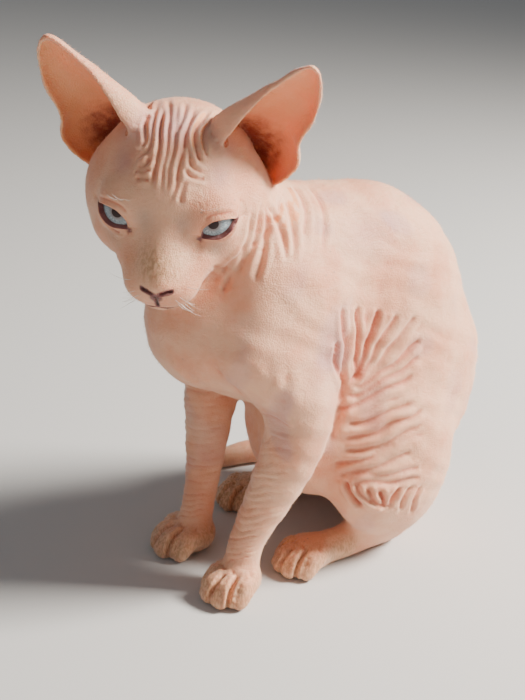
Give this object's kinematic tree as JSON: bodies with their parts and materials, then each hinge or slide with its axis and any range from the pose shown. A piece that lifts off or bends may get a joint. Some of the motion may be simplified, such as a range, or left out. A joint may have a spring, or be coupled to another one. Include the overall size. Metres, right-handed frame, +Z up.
{
  "type": "sphynx cat",
  "caption": "Hairless cat sitting hunched on its haunches, head turned to its left with the chin down, tail laid round on the floor.",
  "frame": {"origin": "on the floor, under the middle of the cat's bounding box", "axes": "+Z up; the chest faces -Y and the cat's left side is +X"},
  "size_m": [0.1596, 0.2554, 0.2831],
  "materials": {
    "skin": "bare cream-pink skin with folds and a trace of down",
    "ear_skin": "thin bare skin that glows orange, dark red inside the cup",
    "eye": "wet clear eye with a pale blue iris and a dark pupil"
  },
  "bodies": {
    "root": {"head": "skin", "neck": "skin", "chest": "skin", "belly": "skin", "foreleg_left": "skin", "foreleg_right": "skin", "forepaw_left": "skin", "forepaw_right": "skin", "hindleg_left": "skin", "hindleg_right": "skin", "hindpaw_left": "skin", "hindpaw_right": "skin", "tail_base": "skin", "tail_middle": "skin", "tail_tip": "skin", "ear_left": "ear_skin", "ear_right": "ear_skin", "eye_left": "eye", "eye_right": "eye"}
  },
  "joints": []
}
